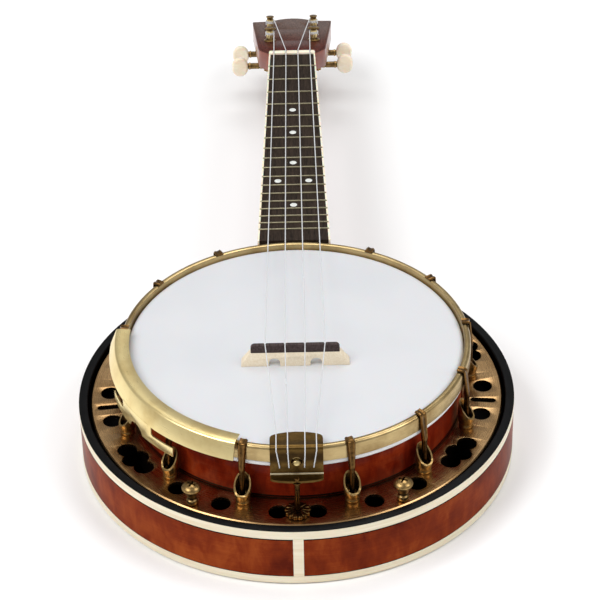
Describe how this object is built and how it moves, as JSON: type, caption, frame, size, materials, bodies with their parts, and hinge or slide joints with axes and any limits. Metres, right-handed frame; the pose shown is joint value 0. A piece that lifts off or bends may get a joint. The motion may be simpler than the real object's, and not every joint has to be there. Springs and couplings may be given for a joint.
{
  "type": "banjo ukulele",
  "caption": "Banjo ukulele lying on its back: a drum head over a wooden rim, held by a metal hoop with hooks, over a round wooden resonator, with a fretted neck, tuners and nylon strings.",
  "frame": {"origin": "centre of the resonator's flat back", "axes": "+Y from the drum along the neck to the headstock, +Z out of the back through the drum head, +X to the right with the neck pointing away"},
  "size_m": [0.2642, 0.5915, 0.0886],
  "materials": {
    "mahogany": "flamed wood stained red-brown under a high gloss lacquer",
    "rim_wood": "red-brown wood, gloss lacquer",
    "black_trim": "black, gloss",
    "cream_trim": "aged cream, satin gloss",
    "drum_skin": "white, coated, matte",
    "hoop_brass": "brushed antique brass, lacquered",
    "gold_plate": "satin gold",
    "aged_brass": "antique brass, dark in the recesses",
    "dark_board": "very dark wood, satin",
    "dark_veneer": "dark stained wood veneer, gloss",
    "maple": "pale wood with a dark cap, satin",
    "ivory_plastic": "ivory coloured, gloss",
    "nylon": "translucent nylon"
  },
  "bodies": {
    "instrument": {"head_veneer": "dark_veneer", "tuner_plate_left_1": "aged_brass", "tuner_plate_left_2": "aged_brass", "tuner_plate_right_1": "aged_brass", "tuner_plate_right_2": "aged_brass", "fingerboard": "dark_board", "string_nut": "ivory_plastic", "resonator": "mahogany", "edge_ring": "black_trim", "top_binding": "cream_trim", "bottom_binding": "cream_trim", "flange": "aged_brass", "rim": "rim_wood", "drum_head": "drum_skin", "tension_hoop": "hoop_brass", "hook_left_1": "aged_brass", "hook_right_1": "aged_brass", "shoe_left_1": "aged_brass", "shoe_right_1": "aged_brass", "hook_left_2": "aged_brass", "hook_right_2": "aged_brass", "shoe_left_2": "aged_brass", "shoe_right_2": "aged_brass", "hook_left_3": "aged_brass", "hook_right_3": "aged_brass", "shoe_left_3": "aged_brass", "shoe_right_3": "aged_brass", "hook_left_4": "aged_brass", "hook_right_4": "aged_brass", "shoe_left_4": "aged_brass", "shoe_right_4": "aged_brass", "hook_left_5": "aged_brass", "hook_right_5": "aged_brass", "shoe_left_5": "aged_brass", "shoe_right_5": "aged_brass", "hook_left_6": "aged_brass", "hook_right_6": "aged_brass", "shoe_left_6": "aged_brass", "shoe_right_6": "aged_brass", "resonator_screw_left_1": "aged_brass", "resonator_screw_right_1": "aged_brass", "resonator_screw_left_2": "aged_brass", "resonator_screw_right_2": "aged_brass", "bridge": "maple", "tailpiece": "aged_brass", "armrest": "gold_plate", "neck": "mahogany", "string_1": "nylon", "string_2": "nylon", "string_3": "nylon", "string_4": "nylon"},
    "button_left_1": {"tuner_button_left_1": "ivory_plastic"},
    "post_left_1": {"tuner_post_left_1": "aged_brass"},
    "button_left_2": {"tuner_button_left_2": "ivory_plastic"},
    "post_left_2": {"tuner_post_left_2": "aged_brass"},
    "button_right_1": {"tuner_button_right_1": "ivory_plastic"},
    "post_right_1": {"tuner_post_right_1": "aged_brass"},
    "button_right_2": {"tuner_button_right_2": "ivory_plastic"},
    "post_right_2": {"tuner_post_right_2": "aged_brass"},
    "thumb_nut": {"thumb_nut": "aged_brass"}
  },
  "joints": [
    {"name": "turn_button_left_1", "type": "hinge", "parent": "instrument", "child": "button_left_1", "pos_m": [-0.0162, 0.39846, 0.03826], "axis": [1, 0, 0], "continuous": true},
    {"name": "turn_post_left_1", "type": "hinge", "parent": "instrument", "child": "post_left_1", "pos_m": [-0.0162, 0.39693, 0.06008], "axis": [0, 0.2419, 0.9703], "continuous": true},
    {"name": "turn_button_left_2", "type": "hinge", "parent": "instrument", "child": "button_left_2", "pos_m": [-0.0162, 0.43028, 0.03032], "axis": [1, 0, 0], "continuous": true},
    {"name": "turn_post_left_2", "type": "hinge", "parent": "instrument", "child": "post_left_2", "pos_m": [-0.0162, 0.42876, 0.05214], "axis": [0, 0.2419, 0.9703], "continuous": true},
    {"name": "turn_button_right_1", "type": "hinge", "parent": "instrument", "child": "button_right_1", "pos_m": [0.0162, 0.39846, 0.03826], "axis": [1, 0, 0], "continuous": true},
    {"name": "turn_post_right_1", "type": "hinge", "parent": "instrument", "child": "post_right_1", "pos_m": [0.0162, 0.39693, 0.06008], "axis": [0, 0.2419, 0.9703], "continuous": true},
    {"name": "turn_button_right_2", "type": "hinge", "parent": "instrument", "child": "button_right_2", "pos_m": [0.0162, 0.43028, 0.03032], "axis": [1, 0, 0], "continuous": true},
    {"name": "turn_post_right_2", "type": "hinge", "parent": "instrument", "child": "post_right_2", "pos_m": [0.0162, 0.42876, 0.05214], "axis": [0, 0.2419, 0.9703], "continuous": true},
    {"name": "turn_thumb_nut", "type": "hinge", "parent": "instrument", "child": "thumb_nut", "pos_m": [0, -0.1138, 0.0391], "axis": [0, 0, 1], "continuous": true}
  ],
  "couplings": [
    {"joint": "turn_post_left_1", "follows": "turn_button_left_1", "ratio": 0.071429},
    {"joint": "turn_post_left_2", "follows": "turn_button_left_2", "ratio": 0.071429},
    {"joint": "turn_post_right_1", "follows": "turn_button_right_1", "ratio": 0.071429},
    {"joint": "turn_post_right_2", "follows": "turn_button_right_2", "ratio": 0.071429}
  ]
}
